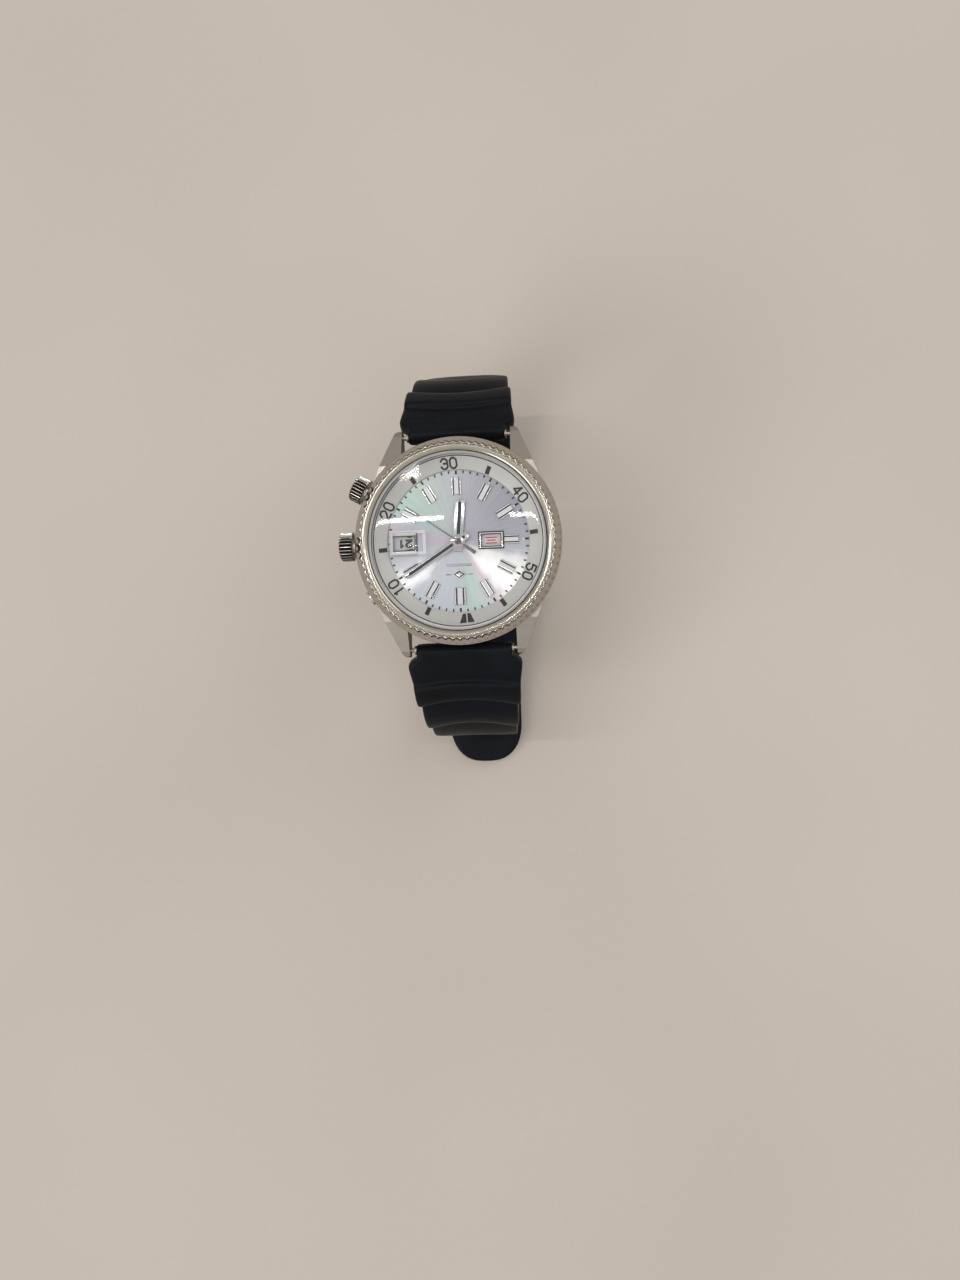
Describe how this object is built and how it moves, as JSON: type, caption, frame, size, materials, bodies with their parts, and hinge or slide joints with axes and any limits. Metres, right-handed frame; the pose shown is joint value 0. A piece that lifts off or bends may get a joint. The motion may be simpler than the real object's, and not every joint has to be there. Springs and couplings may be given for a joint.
{
  "type": "wristwatch",
  "caption": "Diver's wristwatch with a coin-edge bezel, inner turning ring, pearl dial, two crowns, a pusher and a buckled rubber strap.",
  "frame": {"origin": "centre of the case back's outer face", "axes": "+Z out through the dial, +Y towards twelve o'clock, +X towards three o'clock"},
  "size_m": [0.045, 0.0909, 0.0596],
  "materials": {
    "case_steel": "satin",
    "bezel_steel": "polished",
    "control_steel": "polished",
    "crystal_glass": "clear",
    "ring_silver": "fine circular brushing",
    "dial_pearl": "mother of pearl",
    "applied_steel": "polished",
    "calendar_white": "matt",
    "movement_gilt": "satin",
    "movement_steel": "satin",
    "holder_plastic": "matt",
    "seal_rubber": "matt",
    "strap_rubber": "matt",
    "buckle_steel": "satin"
  },
  "bodies": {
    "case": {"case_middle": "case_steel", "bezel": "bezel_steel", "crystal": "crystal_glass", "crystal_gasket": "seal_rubber", "date_magnifier": "crystal_glass", "dial": "dial_pearl", "hour_indices": "applied_steel", "dial_emblem": "applied_steel", "day_frame": "applied_steel", "date_frame": "applied_steel", "main_plate": "movement_gilt", "movement_holder": "holder_plastic", "train_bridge": "movement_gilt", "bridge_screws": "movement_steel", "balance_cock": "movement_gilt", "rotor_bearing": "movement_steel", "crown_tube": "control_steel", "ring_crown_tube": "control_steel", "pusher_spring": "movement_steel", "pusher_gasket": "seal_rubber", "case_back": "case_steel", "case_back_gasket": "seal_rubber", "spring_bar_twelve": "case_steel", "spring_bar_six": "case_steel"},
    "inner_ring": {"turning_ring": "ring_silver"},
    "ring_crown_body": {"ring_crown": "control_steel", "ring_crown_stem": "movement_steel", "ring_crown_gasket": "seal_rubber"},
    "crown_slide_body": {"crown_gasket": "seal_rubber"},
    "crown_body": {"crown": "control_steel", "winding_stem": "movement_steel"},
    "pusher_body": {"pusher": "control_steel", "pusher_clip": "movement_steel"},
    "seconds_body": {"seconds_hand": "applied_steel", "seconds_arbor": "movement_steel"},
    "minute_body": {"minute_hand": "applied_steel", "centre_wheel": "movement_gilt"},
    "hour_body": {"hour_hand": "applied_steel", "hour_wheel": "movement_gilt"},
    "minute_wheel_body": {"minute_wheel": "movement_gilt"},
    "third_body": {"third_wheel": "movement_gilt"},
    "escape_body": {"escape_wheel": "movement_steel"},
    "barrel_body": {"barrel": "movement_gilt"},
    "pallet_body": {"pallet_fork": "movement_steel"},
    "balance_body": {"balance_wheel": "movement_gilt"},
    "date_body": {"date_ring": "calendar_white"},
    "day_body": {"day_disc": "calendar_white"},
    "rotor_body": {"rotor": "movement_steel"},
    "strap_twelve_body": {"strap_twelve": "strap_rubber"},
    "strap_twelve_end_body": {"strap_twelve_end": "strap_rubber", "fixed_keeper": "strap_rubber"},
    "buckle_body": {"buckle_frame": "buckle_steel", "buckle_bar": "buckle_steel"},
    "tongue_body": {"buckle_tongue": "buckle_steel"},
    "keeper_body": {"floating_keeper": "strap_rubber"},
    "strap_six_body": {"strap_six": "strap_rubber"},
    "strap_six_tail_body": {"strap_six_tail": "strap_rubber"}
  },
  "joints": [
    {"name": "inner_ring_turn", "type": "hinge", "parent": "case", "child": "inner_ring", "pos_m": [0, 0, 0.007], "axis": [0, 0, 1], "continuous": true},
    {"name": "ring_crown_turn", "type": "hinge", "parent": "case", "child": "ring_crown_body", "pos_m": [0.01862, -0.01075, 0.0046], "axis": [0.866, -0.5, 0], "continuous": true},
    {"name": "crown_pull", "type": "slide", "parent": "case", "child": "crown_slide_body", "axis": [1, 0, 0], "range_m": [0, 0.0009]},
    {"name": "crown_turn", "type": "hinge", "parent": "crown_slide_body", "child": "crown_body", "pos_m": [0.022, 0, 0.0046], "axis": [1, 0, 0], "continuous": true},
    {"name": "pusher_press", "type": "slide", "parent": "case", "child": "pusher_body", "axis": [-0.866, -0.5, 0], "range_m": [0, 0.0008], "stiffness_N_per_m": 500, "springref_m": -0.0004, "deforming": ["pusher_spring"]},
    {"name": "seconds_turn", "type": "hinge", "parent": "case", "child": "seconds_body", "pos_m": [0, 0, 0.008], "axis": [0, 0, 1], "continuous": true},
    {"name": "minute_turn", "type": "hinge", "parent": "case", "child": "minute_body", "pos_m": [0, 0, 0.0076], "axis": [0, 0, 1], "continuous": true},
    {"name": "hour_turn", "type": "hinge", "parent": "case", "child": "hour_body", "pos_m": [0, 0, 0.0072], "axis": [0, 0, 1], "continuous": true},
    {"name": "minute_wheel_turn", "type": "hinge", "parent": "case", "child": "minute_wheel_body", "pos_m": [0, -0.0024, 0.0057], "axis": [0, 0, 1], "continuous": true},
    {"name": "third_wheel_turn", "type": "hinge", "parent": "case", "child": "third_body", "pos_m": [0.00383, -0.00139, 0.0033], "axis": [0, 0, 1], "continuous": true},
    {"name": "escape_wheel_turn", "type": "hinge", "parent": "case", "child": "escape_body", "pos_m": [-0.00202, -0.0035, 0.0033], "axis": [0, 0, 1], "continuous": true},
    {"name": "barrel_turn", "type": "hinge", "parent": "case", "child": "barrel_body", "pos_m": [-0.00445, 0.00445, 0.0039], "axis": [0, 0, 1], "continuous": true},
    {"name": "pallet_rock", "type": "hinge", "parent": "case", "child": "pallet_body", "pos_m": [-0.0034, -0.00585, 0.0033], "axis": [0, 0, 1], "range_deg": [-6, 6]},
    {"name": "balance_swing", "type": "hinge", "parent": "case", "child": "balance_body", "pos_m": [-0.006, -0.0066, 0.0036], "axis": [0, 0, 1], "range_deg": [-270, 270], "stiffness_Nm_per_rad": 0.000001},
    {"name": "date_ring_turn", "type": "hinge", "parent": "case", "child": "date_body", "pos_m": [0, 0, 0.0059], "axis": [0, 0, 1], "continuous": true},
    {"name": "day_disc_turn", "type": "hinge", "parent": "case", "child": "day_body", "pos_m": [0, 0, 0.006], "axis": [0, 0, 1], "continuous": true},
    {"name": "rotor_turn", "type": "hinge", "parent": "case", "child": "rotor_body", "pos_m": [0, 0, 0.0018], "axis": [0, 0, 1], "continuous": true},
    {"name": "strap_twelve_hinge", "type": "hinge", "parent": "case", "child": "strap_twelve_body", "pos_m": [0, 0.0217, 0.0026], "axis": [1, 0, 0], "range_deg": [0, 55], "deforming": ["strap_twelve", "strap_twelve_end"]},
    {"name": "strap_twelve_bend", "type": "hinge", "parent": "strap_twelve_body", "child": "strap_twelve_end_body", "pos_m": [0, 0.0406, -0.02439], "axis": [1, 0, 0], "range_deg": [0, 80]},
    {"name": "buckle_swing", "type": "hinge", "parent": "strap_twelve_end_body", "child": "buckle_body", "pos_m": [0, 0.003, -0.0434], "axis": [1, 0, 0], "range_deg": [0, 45]},
    {"name": "tongue_swing", "type": "hinge", "parent": "buckle_body", "child": "tongue_body", "pos_m": [0, 0.003, -0.0434], "axis": [1, 0, 0], "range_deg": [0, 35]},
    {"name": "keeper_slide", "type": "slide", "parent": "strap_twelve_end_body", "child": "keeper_body", "axis": [0, 1, 0], "range_m": [-0.002, 0.003]},
    {"name": "strap_six_hinge", "type": "hinge", "parent": "case", "child": "strap_six_body", "pos_m": [0, -0.0217, 0.0026], "axis": [-1, 0, 0], "range_deg": [0, 55], "deforming": ["strap_six", "strap_six_tail"]},
    {"name": "strap_six_bend", "type": "hinge", "parent": "strap_six_body", "child": "strap_six_tail_body", "pos_m": [0, -0.037, -0.0239], "axis": [-1, 0, 0], "range_deg": [0, 80]}
  ],
  "couplings": [
    {"joint": "ring_crown_turn", "follows": "inner_ring_turn", "ratio": -9},
    {"joint": "third_wheel_turn", "follows": "seconds_turn", "ratio": -0.125},
    {"joint": "minute_turn", "follows": "seconds_turn", "ratio": 0.016667},
    {"joint": "minute_wheel_turn", "follows": "seconds_turn", "ratio": -0.0055556},
    {"joint": "hour_turn", "follows": "seconds_turn", "ratio": 0.0013889},
    {"joint": "barrel_turn", "follows": "seconds_turn", "ratio": -0.0027778},
    {"joint": "escape_wheel_turn", "follows": "seconds_turn", "ratio": -10},
    {"joint": "strap_twelve_bend", "follows": "strap_twelve_hinge", "ratio": 1.4},
    {"joint": "strap_six_bend", "follows": "strap_six_hinge", "ratio": 1.4}
  ]
}
